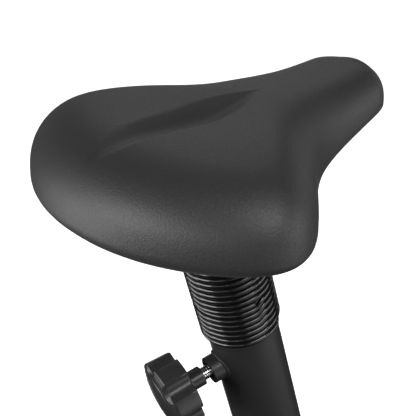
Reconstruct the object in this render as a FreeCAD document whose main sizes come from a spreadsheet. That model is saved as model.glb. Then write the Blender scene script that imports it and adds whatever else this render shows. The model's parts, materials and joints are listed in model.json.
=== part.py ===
import FreeCAD, Part
import os
import re
import Sketcher

# Sprung saddle and seat tube of an exercise bike.
# Millimetres. +X is forward (saddle nose), +Y is the rider's left, +Z is up.
# The origin is the centre of the seat tube's lower end, where the bike's frame holds it.
# The tube leans back by `lean`, and every height below is measured along its axis from there.

Vector = FreeCAD.Vector
Rotation = FreeCAD.Rotation
Placement = FreeCAD.Placement

doc = FreeCAD.newDocument("seat_assembly")

# ---------------------------------------------------------------- driving dimensions
SIZES = [
    ("lean", 16.5, "backward lean of the seat tube from vertical, degrees"),
    # seat tube and its plastic sleeve
    ("tube_outer", 50.8, "seat tube outside diameter"),
    ("tube_wall", 2.0, "seat tube wall"),
    ("tube_length", 300.0, "seat tube length"),
    ("spigot_outer", 49.8, "turned lower end of the seat tube, which the frame's lug holds"),
    ("spigot_length", 60.0, "length of that lower end"),
    ("sleeve_length", 100.0, "length of the sleeve inside the tube"),
    ("sleeve_bore", 44.6, "sleeve bore, a sliding fit on the post"),
    ("flange_height", 2.2, "sleeve flange on the tube's mouth"),
    # seat post
    ("post_outer", 44.45, "seat post outside diameter"),
    ("post_wall", 2.0, "seat post wall"),
    ("post_bottom", 60.0, "height of the post's lower end in the lowest setting"),
    ("post_top", 371.0, "height of the post's upper end"),
    ("hole_pitch", 25.0, "distance between height holes"),
    ("hole_bore", 8.4, "height hole diameter"),
    ("collar_bottom", 302.5, "underside of the welded spring collar"),
    ("collar_top", 305.3, "top of the spring collar, where the springs stand"),
    ("collar_outer", 53.4, "spring collar diameter"),
    ("plug_head", 3.0, "post plug head thickness"),
    ("plug_depth", 15.0, "post plug depth inside the post"),
    # sprung stem
    ("stem_outer", 35.0, "stem outside diameter"),
    ("stem_wall", 3.0, "stem wall"),
    ("stem_bottom", 300.0, "height of the stem's lower end"),
    ("bush_length", 30.0, "upper guide bush length inside the post"),
    ("bush_flange", 3.0, "upper guide bush flange"),
    ("bush_bore", 35.1, "upper guide bush bore, a sliding fit on the stem"),
    ("ring_bottom", 302.0, "height of the guide ring on the stem"),
    ("ring_length", 15.0, "guide ring length"),
    ("ring_outer", 40.3, "guide ring diameter, a sliding fit in the post"),
    ("spring_travel", 12.0, "travel of the sprung stem"),
    ("key_height", 329.0, "height of the cross pin that keys the stem"),
    ("key_diameter", 6.0, "cross pin diameter"),
    ("key_length", 43.0, "cross pin length"),
    ("slot_gap", 0.3, "clearance between cross pin and slot"),
    ("seat_height", 395.0, "underside of the upper spring seat"),
    ("seat_disc", 4.0, "upper spring seat thickness"),
    ("seat_outer", 60.0, "upper spring seat diameter"),
    ("seat_hub", 42.0, "upper spring seat hub diameter"),
    ("hub_height", 6.0, "hub height above the seat disc"),
    ("stop_outer", 44.0, "bump stop diameter"),
    ("stop_height", 8.0, "bump stop height"),
    # coil springs
    ("coil_outer", 58.0, "outside diameter of both springs"),
    ("coil_wire", 3.8, "wire diameter"),
    ("coil_pitch", 4.7, "coil pitch"),
    ("spring_split", 337.0, "height where the main spring stands on the helper spring"),
    ("end_gap", 0.2, "gap between the main spring and the upper seat"),
    # clamping knob
    ("boss_height", 278.3, "height of the knob's axis"),
    ("knob_turn", 12.0, "turn of the knob's axis from straight back to the left, degrees"),
    ("boss_outer", 20.0, "boss diameter"),
    ("boss_face", 33.6, "distance of the boss face from the tube's axis"),
    ("boss_mouth", 13.4, "countersunk mouth of the boss"),
    ("mouth_depth", 2.2, "depth of that mouth"),
    ("thread_bore", 10.0, "threaded bore, as a plain hole"),
    ("weld_leg", 2.6, "leg of the weld round the boss"),
    ("stud_outer", 9.9, "threaded stud diameter"),
    ("stud_point", 7.6, "diameter of the stud's plain point"),
    ("point_start", 23.2, "distance of the stud's tip from the tube's axis"),
    ("point_length", 7.0, "length of the stud's plain point"),
    ("stud_end", 65.0, "distance of the stud's buried end from the tube's axis"),
    ("knob_bore", 10.0, "bore of the knob and its hub, which turn about the stud"),
    ("bore_gap", 0.3, "gap between the stud's buried end and the bottom of that bore"),
    ("hub_start", 39.5, "distance of the knob hub's face from the tube's axis"),
    ("hub_outer", 14.4, "knob hub diameter"),
    ("grip_start", 52.6, "distance of the knob's back from the tube's axis"),
    ("grip_back", 52.0, "knob diameter at its back"),
    ("grip_front", 53.8, "knob diameter at its face"),
    ("grip_depth", 19.2, "knob thickness at its rim"),
    ("grip_crown", 3.6, "doming of the knob's face"),
    ("cap_recess", 34.0, "diameter of the recess for the knob's cap"),
    ("cap_thickness", 2.4, "knob cap thickness"),
    ("cap_gap", 0.2, "gap round the knob cap"),
    ("scallop_radius", 7.4, "radius of a finger scallop"),
    ("scallop_centre", 29.0, "distance of a scallop's centre from the knob's axis"),
    ("star_turn", 15.0, "turn of the first scallop from the tube's upward direction, degrees"),
    # saddle, in its own frame: X from the saddle datum, Z from the datum plane
    ("saddle_height", 437.0, "height on the tube's axis of the saddle datum plane"),
    ("saddle_offset", 18.0, "distance of the saddle datum ahead of the tube's axis"),
    ("saddle_rear", -115.0, "rear end of the saddle"),
    ("saddle_length", 247.5, "saddle length"),
    ("saddle_width", 231.0, "saddle width"),
    ("channel_width", 32.0, "width of the channel along the middle of the cushion"),
    ("pan_top", -6.0, "top of the pan under the seat bones"),
    ("pan_thickness", 4.0, "pan thickness"),
    ("pan_rise", 24.0, "rise of the pan towards the nose"),
    ("pan_bend", 40.0, "where the pan starts to rise"),
    ("rib_height", 6.0, "height of the pan's ribs"),
    ("rib_width", 3.0, "width of the pan's ribs"),
    ("pad_boss", 20.0, "diameter of the pan's bolt bosses"),
    ("plate_top", -14.0, "top of the steel saddle plate"),
    ("plate_thickness", 4.0, "saddle plate thickness"),
    ("plate_rear", -76.0, "rear edge of the saddle plate"),
    ("plate_length", 128.0, "saddle plate length"),
    ("plate_width", 86.0, "saddle plate width"),
    ("plate_corner", 14.0, "saddle plate corner radius"),
    ("bolt_front", 38.0, "front bolt, ahead of the saddle datum"),
    ("bolt_rear", -60.0, "rear bolts, behind the saddle datum"),
    ("bolt_spread", 30.0, "rear bolts, either side of the middle"),
    ("bolt_diameter", 8.0, "saddle bolt diameter"),
    ("bolt_length", 21.0, "saddle bolt length under its head"),
    ("bolt_head", 16.0, "saddle bolt head diameter"),
    ("head_thickness", 4.0, "saddle bolt head thickness"),
    ("washer_outer", 16.0, "washer diameter"),
    ("washer_thickness", 1.6, "washer thickness"),
    ("nut_corners", 15.0, "lock nut width across corners"),
    ("nut_height", 6.0, "lock nut height"),
    ("nut_collar", 2.0, "height of the lock nut's nylon collar"),
]

sheet = doc.addObject("Spreadsheet::Sheet", "sizes")
for row, (alias, number, note) in enumerate(SIZES, start=1):
    sheet.set("A%d" % row, alias)
    sheet.set("B%d" % row, str(number))
    sheet.set("C%d" % row, note)
    sheet.setAlias("B%d" % row, alias)
doc.recompute()
ALIASES = {alias for alias, number, note in SIZES}


def bound(text):
    """The expression with each alias pointing at the sheet."""
    def point_at_sheet(word):
        return "sizes." + word.group() if word.group() in ALIASES else word.group()
    return re.sub(r"[a-z_]+", point_at_sheet, text)


def value(text):
    """The number an expression of aliases gives now."""
    return float(sheet.evalExpression(bound(text)))


def bind(obj, **expressions):
    """Tie properties of an object to expressions of the sheet's aliases."""
    for name, text in expressions.items():
        obj.setExpression(name, bound(text))
    return obj


# ---------------------------------------------------------------- frames
AXIS = Placement(Vector(), Rotation(Vector(0, 1, 0), -value("lean")))
TOWARDS_KNOB = Rotation(Vector(0, 0, 1), -value("knob_turn")) * Rotation(Vector(0, 1, 0), -90)
KNOB_ON_AXIS = Placement(Vector(0, 0, value("boss_height")), TOWARDS_KNOB)
KNOB = AXIS.multiply(KNOB_ON_AXIS)
DATUM = AXIS.multVec(Vector(0, 0, value("saddle_height")))
SADDLE = Placement(DATUM + Vector(value("saddle_offset"), 0, 0), Rotation())
HERE = Placement()

# ---------------------------------------------------------------- builders
nodes = []


def node(obj, label, placement=None):
    """Name a finished sub-part and put it in the list that is exported."""
    obj.Label = label
    if placement is not None:
        obj.Placement = placement
    nodes.append(obj)
    return obj


def plane(body, role):
    """An origin plane or axis of a body."""
    return next(f for f in body.Origin.OriginFeatures if f.Role == role)


def sketch_on(body, role, name):
    """An empty sketch on one of a body's origin planes."""
    sketch = body.newObject("Sketcher::SketchObject", name)
    sketch.AttachmentSupport = (plane(body, role), "")
    sketch.MapMode = "FlatFace"
    return sketch


def polygon(sketch, corners):
    """A closed outline through corners, each tied to a pair of expressions; None lies on the axis."""
    points = [Vector(value(x) if x else 0, value(y) if y else 0, 0) for x, y in corners]
    count = len(points)
    for i, point in enumerate(points):
        sketch.addGeometry(Part.LineSegment(point, points[(i + 1) % count]))
    for i, (x, y) in enumerate(corners):
        sketch.addConstraint(Sketcher.Constraint("Coincident", i, 2, (i + 1) % count, 1))
        for text, kind, axis, place in ((x, "DistanceX", -2, points[i].x), (y, "DistanceY", -1, points[i].y)):
            if text is None:
                sketch.addConstraint(Sketcher.Constraint("PointOnObject", i, 1, axis))
                continue
            index = sketch.addConstraint(Sketcher.Constraint(kind, -1, 1, i, 1, place))
            sketch.setExpression("Constraints[%d]" % index, bound(text))


def revolved(label, corners):
    """A body turned about Z from an outline of (radius, height) expressions."""
    body = doc.addObject("PartDesign::Body", label)
    sketch = sketch_on(body, "XZ_Plane", label + "_outline")
    polygon(sketch, corners)
    turn = body.newObject("PartDesign::Revolution", label + "_turn")
    turn.Profile = sketch
    turn.ReferenceAxis = (sketch, ["V_Axis"])
    turn.Angle = 360
    return body


def ring(label, outer, inner, bottom, top):
    """A plain ring: outer and inner diameters, bottom and top heights."""
    radii = (outer + " / 2", inner + " / 2")
    return revolved(label, [(radii[1], bottom), (radii[0], bottom), (radii[0], top), (radii[1], top)])


def cylinder(label, radius, height, placement=HERE):
    """A Part cylinder with its size bound to the sheet."""
    rod = doc.addObject("Part::Cylinder", label)
    rod.Placement = placement
    return bind(rod, Radius=radius, Height=height)


def cut(label, base, tool):
    """One solid less another."""
    result = doc.addObject("Part::Cut", label)
    result.Base = base
    result.Tool = tool
    return result


def fuse(label, shapes):
    """Several solids made one, or kept apart in one node where they don't touch."""
    result = doc.addObject("Part::MultiFuse", label)
    result.Shapes = shapes
    return result


def knob_side(height):
    """A frame on the tube's axis at a height, with Z towards the knob."""
    return Placement(Vector(0, 0, height), TOWARDS_KNOB)


# ---------------------------------------------------------------- seat tube group
def seat_tube():
    blank = revolved("seat_tube_blank", [
        ("tube_outer / 2 - tube_wall", None), ("spigot_outer / 2", None),
        ("spigot_outer / 2", "spigot_length"), ("tube_outer / 2", "spigot_length + 0.5"),
        ("tube_outer / 2", "tube_length"), ("tube_outer / 2 - tube_wall", "tube_length")])
    hole = cylinder("seat_tube_hole", "thread_bore / 2 + 0.5", "tube_outer", KNOB_ON_AXIS)
    node(cut("seat_tube_cut", blank, hole), "seat_tube", AXIS)


def tube_sleeve():
    blank = revolved("tube_sleeve_blank", [
        ("sleeve_bore / 2", "tube_length - sleeve_length"),
        ("tube_outer / 2 - tube_wall", "tube_length - sleeve_length"),
        ("tube_outer / 2 - tube_wall", "tube_length"), ("tube_outer / 2 + 0.4", "tube_length"),
        ("tube_outer / 2 + 0.4", "tube_length + flange_height"),
        ("sleeve_bore / 2", "tube_length + flange_height")])
    hole = cylinder("tube_sleeve_hole", "thread_bore / 2 + 0.5", "tube_outer", KNOB_ON_AXIS)
    node(cut("tube_sleeve_cut", blank, hole), "tube_sleeve", AXIS)


def knob_boss():
    blank = revolved("knob_boss_blank", [
        ("thread_bore / 2", "tube_outer / 2 - 5"), ("boss_outer / 2", "tube_outer / 2 - 5"),
        ("boss_outer / 2", "boss_face"), ("boss_mouth / 2", "boss_face"),
        ("thread_bore / 2", "boss_face - mouth_depth")])
    blank.Placement = KNOB_ON_AXIS
    tube = cylinder("knob_boss_seat", "tube_outer / 2", "tube_length")
    node(cut("knob_boss_cut", blank, tube), "knob_boss", AXIS)


def boss_weld():
    bead = revolved("boss_weld_blank", [
        ("boss_outer / 2", "tube_outer / 2 - 5"), ("boss_outer / 2 + weld_leg", "tube_outer / 2 - 5"),
        ("boss_outer / 2 + weld_leg", "tube_outer / 2 - weld_leg / 2"),
        ("boss_outer / 2", "tube_outer / 2 + weld_leg / 2")])
    bead.Placement = KNOB_ON_AXIS
    tube = cylinder("boss_weld_seat", "tube_outer / 2", "tube_length")
    node(cut("boss_weld_cut", bead, tube), "boss_weld", AXIS)


# ---------------------------------------------------------------- seat post group
def seat_post():
    blank = ring("seat_post_blank", "post_outer", "(post_outer - 2 * post_wall)", "post_bottom", "post_top")
    first = value("boss_height")
    bottom_margin = value("post_bottom + 2 * hole_pitch")
    tools = []
    height = first
    while height > bottom_margin:
        name = "height_hole_%d" % (len(tools) + 1)
        tools.append(cylinder(name, "hole_bore / 2", "post_outer", knob_side(height)))
        height -= value("hole_pitch")
    slot = doc.addObject("Part::Box", "key_slot")
    bind(slot, Length="key_diameter + 2 * slot_gap", Width="post_outer + 2",
         Height="key_diameter + 2 * slot_gap + spring_travel")
    width = value("key_diameter + 2 * slot_gap")
    slot_bottom = value("key_height - key_diameter / 2 - slot_gap - spring_travel")
    slot.Placement = Placement(Vector(-width / 2, -value("post_outer") / 2 - 1, slot_bottom), Rotation())
    node(cut("seat_post_cut", blank, fuse("seat_post_tools", tools + [slot])), "seat_post", AXIS)
    return len(tools)


def post_plug():
    node(revolved("post_plug", [
        (None, "post_bottom - plug_head"), ("post_outer / 2", "post_bottom - plug_head"),
        ("post_outer / 2", "post_bottom"), ("post_outer / 2 - post_wall", "post_bottom"),
        ("post_outer / 2 - post_wall", "post_bottom + plug_depth"), (None, "post_bottom + plug_depth")]),
        "post_plug", AXIS)


def spring_collar():
    node(ring("spring_collar", "collar_outer", "post_outer", "collar_bottom", "collar_top"),
         "spring_collar", AXIS)


def upper_guide_bush():
    node(revolved("upper_guide_bush", [
        ("bush_bore / 2", "post_top - bush_length"),
        ("post_outer / 2 - post_wall", "post_top - bush_length"),
        ("post_outer / 2 - post_wall", "post_top"), ("post_outer / 2", "post_top"),
        ("post_outer / 2", "post_top + bush_flange"), ("bush_bore / 2", "post_top + bush_flange")]),
        "upper_guide_bush", AXIS)


def coil_spring(label, bottom, top):
    """A wire wound about the axis between two heights, its ends lying on the seats."""
    spine = doc.addObject("Part::Helix", label + "_spine")
    bind(spine, Radius="(coil_outer - coil_wire) / 2", Pitch="coil_pitch",
         Height="(%s) - (%s) - coil_wire" % (top, bottom))
    section = doc.addObject("Part::Circle", label + "_section")
    bind(section, Radius="coil_wire / 2")
    section.Placement = Placement(Vector(value("(coil_outer - coil_wire) / 2"), 0, 0),
                                  Rotation(Vector(1, 0, 0), 90))
    doc.recompute()
    sweep = doc.addObject("Part::Sweep", label + "_wire")
    sweep.Sections = [section]
    sweep.Spine = (spine, ["Edge%d" % (i + 1) for i in range(len(spine.Shape.Edges))])
    sweep.Solid = True
    sweep.Frenet = True
    lift = Placement(Vector(0, 0, value("%s + coil_wire / 2" % bottom)), Rotation())
    node(sweep, label, AXIS.multiply(lift))


# ---------------------------------------------------------------- sprung stem group
def stem():
    blank = ring("stem_blank", "stem_outer", "(stem_outer - 2 * stem_wall)", "stem_bottom", "saddle_height")
    hole = cylinder("stem_hole", "key_diameter / 2", "stem_outer + 2",
                    Placement(Vector(0, -value("stem_outer") / 2 - 1, value("key_height")),
                              Rotation(Vector(1, 0, 0), -90)))
    above = doc.addObject("Part::Box", "stem_above")
    bind(above, Length="4 * stem_outer", Width="4 * stem_outer", Height="4 * stem_outer")
    half = 2 * value("stem_outer")
    underside = SADDLE.multVec(Vector(-half, -half, value("plate_top - plate_thickness")))
    above.Placement = AXIS.inverse().multiply(Placement(underside, Rotation()))
    node(cut("stem_cut", blank, fuse("stem_tools", [hole, above])), "stem", AXIS)


def stem_key_pin():
    start = Placement(Vector(0, -value("key_length") / 2, value("key_height")), Rotation(Vector(1, 0, 0), -90))
    pin = cylinder("stem_key_pin", "key_diameter / 2", "key_length")
    node(pin, "stem_key_pin", AXIS.multiply(start))


def stem_guide_ring():
    node(ring("stem_guide_ring", "ring_outer", "stem_outer", "ring_bottom", "ring_bottom + ring_length"),
         "stem_guide_ring", AXIS)


def upper_spring_seat():
    node(revolved("upper_spring_seat", [
        ("stem_outer / 2", "seat_height"), ("seat_outer / 2", "seat_height"),
        ("seat_outer / 2", "seat_height + seat_disc"), ("seat_hub / 2", "seat_height + seat_disc"),
        ("seat_hub / 2", "seat_height + seat_disc + hub_height / 2"),
        ("stem_outer / 2", "seat_height + seat_disc + hub_height")]),
        "upper_spring_seat", AXIS)


def bump_stop():
    node(ring("bump_stop", "stop_outer", "stem_outer", "seat_height - stop_height", "seat_height"),
         "bump_stop", AXIS)


# ---------------------------------------------------------------- saddle group
# Half widths and heights of the cushion at stations from the rear (0) to the nose (1):
# half width over half the saddle's width, then in mm the rim, the widest level, the crown
# and the depth of the channel along the middle.
CUSHION = [
    (0.000, 0.22, -25.5, -8.0, 22.0, 0.0),
    (0.030, 0.43, -25.5, -8.0, 27.0, 0.0),
    (0.085, 0.675, -25.0, -8.5, 32.0, 1.0),
    (0.165, 0.895, -23.5, -9.0, 36.0, 4.0),
    (0.260, 1.00, -21.0, -9.0, 39.0, 7.0),
    (0.375, 0.905, -18.0, -7.7, 40.0, 8.5),
    (0.490, 0.675, -14.0, -5.0, 40.5, 6.0),
    (0.610, 0.48, -8.0, -0.5, 40.5, 1.0),
    (0.725, 0.385, -1.5, 5.5, 41.0, 0.0),
    (0.840, 0.335, 6.0, 13.0, 42.0, 0.0),
    (0.920, 0.305, 11.0, 18.0, 44.0, 0.0),
    (0.970, 0.23, 14.5, 21.5, 45.5, 0.0),
    (1.000, 0.11, 18.0, 25.0, 43.0, 0.0),
]
TUCK = 0.88         # rim half width over the widest half width
SHOULDER = 0.80     # half width where the side rolls over into the top

# The pan's half outline in plan, from its rear to its nose, in the saddle's frame.
PAN = [(-93, 0), (-91, 40), (-73, 79), (-49, 92), (-20, 79),
       (10, 53), (40, 33), (75, 22), (104, 13), (114, 0)]


def cushion_section(station):
    """One closed cross-section of the cushion: a flat bottom and a spline over the top."""
    along, wide, rim, side, crown, dip = station
    x = value("saddle_rear") + along * value("saddle_length")
    half = wide * value("saddle_width") / 2
    shoulder = side + 0.72 * (crown - side)
    right = [(-TUCK * half, rim), (-half, side), (-SHOULDER * half, shoulder)]
    left = [(-y, z) for y, z in reversed(right)]
    bank = min(value("channel_width") / 2, 0.4 * half)
    middle = [(-bank, crown), (0, crown - dip), (bank, crown)]
    over = [Vector(x, y, z) for y, z in right + middle + left]
    curve = Part.BSplineCurve()
    curve.interpolate(over)
    return Part.Wire([curve.toShape(), Part.makeLine(over[-1], over[0])])


def pan_outline():
    """The pan's outline in plan, drawn in from the cushion's all round."""
    left = [Vector(x, y, 0) for x, y in PAN[1:-1]]
    right = [Vector(p.x, -p.y, 0) for p in reversed(left)]
    rear = Vector(PAN[0][0], 0, 0)
    nose = Vector(PAN[-1][0], 0, 0)
    curve = Part.BSplineCurve()
    curve.interpolate([rear] + left + [nose] + right, PeriodicFlag=True)
    return Part.Face(Part.Wire([curve.toShape()]))


def side_profile(top, depth):
    """A slab as wide as the saddle that follows the pan's bend: its top level and its depth."""
    rear = value("saddle_rear") - 10
    nose = value("saddle_rear") + value("saddle_length") + 10
    bend = value("pan_bend")
    end = top + value("pan_rise") * (nose - bend) / (PAN[-1][0] - bend)
    upper = [(rear, top), (bend, top), (nose, end)]
    lower = [(x, z - depth) for x, z in reversed(upper)]
    y = -value("saddle_width")
    points = [Vector(x, y, z) for x, z in upper + lower]
    return Part.Face(Part.makePolygon(points + points[:1])).extrude(Vector(0, -2 * y, 0))


def pan_prism():
    """The pan's outline as a tall prism."""
    face = pan_outline()
    face.translate(Vector(0, 0, -100))
    return face.extrude(Vector(0, 0, 200))


def bolt_places():
    """The three bolts: one at the front, two behind."""
    front, rear, spread = value("bolt_front"), value("bolt_rear"), value("bolt_spread")
    return [(front, 0), (rear, spread), (rear, -spread)]


def upright(radius, low, high, place):
    """A vertical cylinder in the saddle's frame."""
    return Part.makeCylinder(radius, high - low, Vector(place[0], place[1], low))


def saddle_pan():
    """The plastic shell: a bent sheet with long ribs, and a boss round each bolt."""
    top = value("pan_top")
    underside = top - value("pan_thickness")
    prism = pan_prism()
    shell = prism.common(side_profile(top, value("pan_thickness")))
    depth = value("rib_height") + value("pan_thickness")
    slab = side_profile(top - 1, depth - 1)
    for y in (-68, -48, 48, 68):
        strip = Part.makeBox(150, value("rib_width"), 100, Vector(-85, y - value("rib_width") / 2, -50))
        shell = shell.fuse(prism.common(slab).common(strip))
    for place in bolt_places():
        shell = shell.fuse(upright(value("pad_boss") / 2, value("plate_top"), underside + 1, place))
    for place in bolt_places():
        shell = shell.cut(upright(value("bolt_diameter") / 2, value("plate_top") - 1, top + 1, place))
        shell = shell.cut(upright(value("bolt_head") / 2, top - value("head_thickness"), top + 1, place))
    piece = doc.addObject("Part::Feature", "saddle_pan")
    piece.Shape = shell.removeSplitter()
    node(piece, "saddle_pan", SADDLE)


def saddle_pad():
    """The moulded cushion, hollow underneath for the pan."""
    body = Part.makeLoft([cushion_section(s) for s in CUSHION], True, False)
    hollow = pan_prism().common(side_profile(value("pan_top"), 60))
    piece = doc.addObject("Part::Feature", "saddle_pad")
    piece.Shape = body.cut(hollow)
    node(piece, "saddle_pad", SADDLE)


def saddle_plate():
    """The steel plate welded to the stem, with the three bolt holes."""
    body = doc.addObject("PartDesign::Body", "saddle_plate")
    outline = sketch_on(body, "XY_Plane", "plate_outline")
    front = "plate_rear + plate_length"
    polygon(outline, [("plate_rear", "-plate_width / 2"), (front, "-plate_width / 2"),
                      (front, "plate_width / 2"), ("plate_rear", "plate_width / 2")])
    pad = body.newObject("PartDesign::Pad", "plate_pad")
    pad.Profile = outline
    bind(pad, Length="plate_thickness")
    doc.recompute()
    upright_edges = ["Edge%d" % (i + 1) for i, e in enumerate(pad.Shape.Edges)
                     if abs(e.tangentAt(e.FirstParameter).z) > 0.99]
    corner = body.newObject("PartDesign::Fillet", "plate_corners")
    corner.Base = (pad, upright_edges)
    bind(corner, Radius="plate_corner")
    holes = sketch_on(body, "XY_Plane", "plate_holes")
    for x, y in bolt_places():
        clearance = value("bolt_diameter / 2 + 0.3")
        circle = holes.addGeometry(Part.Circle(Vector(x, y, 0), Vector(0, 0, 1), clearance))
        radius = holes.addConstraint(Sketcher.Constraint("Radius", circle, clearance))
        holes.setExpression("Constraints[%d]" % radius, bound("bolt_diameter / 2 + 0.3"))
    pocket = body.newObject("PartDesign::Pocket", "plate_pocket")
    pocket.Profile = holes
    pocket.Type = "ThroughAll"
    pocket.Reversed = True
    low = Placement(Vector(0, 0, value("plate_top - plate_thickness")), Rotation())
    node(body, "saddle_plate", SADDLE.multiply(low))


def at_each_bolt(label, make):
    """The same fastener at each bolt, as separate solids in one node."""
    pieces = []
    for i, (x, y) in enumerate(bolt_places()):
        piece = make("%s_%d" % (label, i + 1))
        piece.Placement = Placement(Vector(x, y, 0), Rotation())
        pieces.append(piece)
    group = doc.addObject("Part::Compound", label + "_group")
    group.Links = pieces
    node(group, label, SADDLE)


def saddle_bolts():
    """Round-headed bolts that hang down from the pan."""
    def bolt(name):
        shank = cylinder(name + "_shank", "bolt_diameter / 2", "bolt_length")
        head = cylinder(name + "_head", "bolt_head / 2", "head_thickness")
        foot = value("pan_top - head_thickness - bolt_length")
        shank.Placement = Placement(Vector(0, 0, foot), Rotation())
        head.Placement = Placement(Vector(0, 0, value("pan_top - head_thickness")), Rotation())
        return fuse(name, [shank, head])
    at_each_bolt("saddle_bolts", bolt)


def saddle_washers():
    def washer(name):
        disc = cylinder(name + "_disc", "washer_outer / 2", "washer_thickness")
        hole = cylinder(name + "_hole", "bolt_diameter / 2 + 0.2", "washer_thickness")
        low = Placement(Vector(0, 0, value("plate_top - plate_thickness - washer_thickness")), Rotation())
        disc.Placement = low
        hole.Placement = low
        return cut(name, disc, hole)
    at_each_bolt("saddle_washers", washer)


def saddle_nuts():
    """Lock nuts: a hexagon with a round nylon collar below it."""
    def nut(name):
        seat = value("plate_top - plate_thickness - washer_thickness")
        hexagon = doc.addObject("Part::Prism", name + "_hexagon")
        hexagon.Polygon = 6
        bind(hexagon, Circumradius="nut_corners / 2", Height="nut_height")
        hexagon.Placement = Placement(Vector(0, 0, seat - value("nut_height")), Rotation())
        collar = cylinder(name + "_collar", "nut_corners / 2 - 1.6", "nut_collar")
        low = seat - value("nut_height + nut_collar")
        collar.Placement = Placement(Vector(0, 0, low), Rotation())
        hole = cylinder(name + "_hole", "bolt_diameter / 2", "nut_height + nut_collar")
        hole.Placement = collar.Placement
        return cut(name, fuse(name + "_blank", [hexagon, collar]), hole)
    at_each_bolt("saddle_nuts", nut)


# ---------------------------------------------------------------- clamping knob group
def knob_stud():
    node(revolved("knob_stud", [
        (None, "point_start"), ("stud_point / 2 - 1", "point_start"), ("stud_point / 2", "point_start + 1"),
        ("stud_point / 2", "point_start + point_length"),
        ("stud_outer / 2", "point_start + point_length + 1"),
        ("stud_outer / 2", "stud_end"), (None, "stud_end")]),
        "knob_stud", KNOB)


def knob_hub():
    node(revolved("knob_hub", [
        ("knob_bore / 2", "hub_start"), ("hub_outer / 2 - 0.6", "hub_start"),
        ("hub_outer / 2", "hub_start + 0.6"),
        ("hub_outer / 2", "grip_start"), ("knob_bore / 2", "grip_start")]),
        "knob_hub", KNOB)


def knob_grip():
    """A six-lobed star knob: a tapered, domed disc with finger scallops cut round it."""
    body = revolved("knob_grip", [
        ("knob_bore / 2", "grip_start"), ("grip_back / 2", "grip_start"),
        ("grip_front / 2", "grip_start + grip_depth"),
        ("cap_recess / 2", "grip_start + grip_depth + grip_crown"),
        ("cap_recess / 2", "grip_start + grip_depth + grip_crown - cap_thickness"),
        (None, "grip_start + grip_depth + grip_crown - cap_thickness"),
        (None, "stud_end + bore_gap"), ("knob_bore / 2", "stud_end + bore_gap")])
    doc.recompute()
    whole = body.Shape.Volume
    sketch = sketch_on(body, "XY_Plane", "scallop")
    centre = Vector(value("scallop_centre"), 0, 0)
    circle = sketch.addGeometry(Part.Circle(centre, Vector(0, 0, 1), value("scallop_radius")))
    sketch.addConstraint(Sketcher.Constraint("PointOnObject", circle, 3, -1))
    radius = sketch.addConstraint(Sketcher.Constraint("Radius", circle, value("scallop_radius")))
    sketch.setExpression("Constraints[%d]" % radius, bound("scallop_radius"))
    reach = sketch.addConstraint(Sketcher.Constraint("DistanceX", -1, 1, circle, 3, centre.x))
    sketch.setExpression("Constraints[%d]" % reach, bound("scallop_centre"))
    pocket = body.newObject("PartDesign::Pocket", "scallop_cut")
    pocket.Profile = sketch
    pocket.Type = "ThroughAll"
    pocket.Reversed = True
    star = body.newObject("PartDesign::PolarPattern", "scallops")
    star.Originals = [pocket]
    star.Axis = (plane(body, "Z_Axis"), [""])
    star.Angle = 360
    star.Occurrences = 6
    body.Tip = star
    doc.recompute()
    if body.Shape.Volume > 0.9 * whole:
        raise RuntimeError("the finger scallops cut nothing")
    turned = Placement(Vector(), Rotation(Vector(0, 0, 1), value("star_turn")))
    node(body, "knob_grip", KNOB.multiply(turned))


def knob_cap():
    node(revolved("knob_cap", [
        (None, "grip_start + grip_depth + grip_crown - cap_thickness"),
        ("cap_recess / 2 - cap_gap", "grip_start + grip_depth + grip_crown - cap_thickness"),
        ("cap_recess / 2 - cap_gap", "grip_start + grip_depth + grip_crown - 0.5"),
        ("cap_recess / 2 - cap_gap - 2", "grip_start + grip_depth + grip_crown + 0.4"),
        (None, "grip_start + grip_depth + grip_crown + 0.8")]),
        "knob_cap", KNOB)


# ---------------------------------------------------------------- build
seat_tube()
tube_sleeve()
knob_boss()
boss_weld()
hole_count = seat_post()
post_plug()
spring_collar()
upper_guide_bush()
coil_spring("helper_spring", "collar_top", "spring_split")
coil_spring("main_spring", "spring_split", "seat_height - end_gap")
stem()
stem_key_pin()
stem_guide_ring()
upper_spring_seat()
bump_stop()
saddle_plate()
saddle_bolts()
saddle_washers()
saddle_nuts()
saddle_pan()
saddle_pad()
knob_stud()
knob_hub()
knob_grip()
knob_cap()
doc.recompute()

# ---------------------------------------------------------------- checks and export
for obj in doc.Objects:
    if "Invalid" in obj.State or "Error" in obj.State:
        raise RuntimeError("%s failed to build" % obj.Label)
for obj in nodes:
    if obj.Shape.isNull() or not obj.Shape.isValid() or obj.Shape.Volume <= 0:
        raise RuntimeError("%s has no sound shape" % obj.Label)

os.makedirs("parts", exist_ok=True)
for obj in nodes:
    obj.Shape.exportStep("parts/%s.step" % obj.Label)
    print("%-20s %2d solids %10.1f mm3" % (obj.Label, len(obj.Shape.Solids), obj.Shape.Volume))
print("%d sub-parts, %d height holes, knob frame %s" % (len(nodes), hole_count, KNOB))
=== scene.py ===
import json
import math

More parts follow.
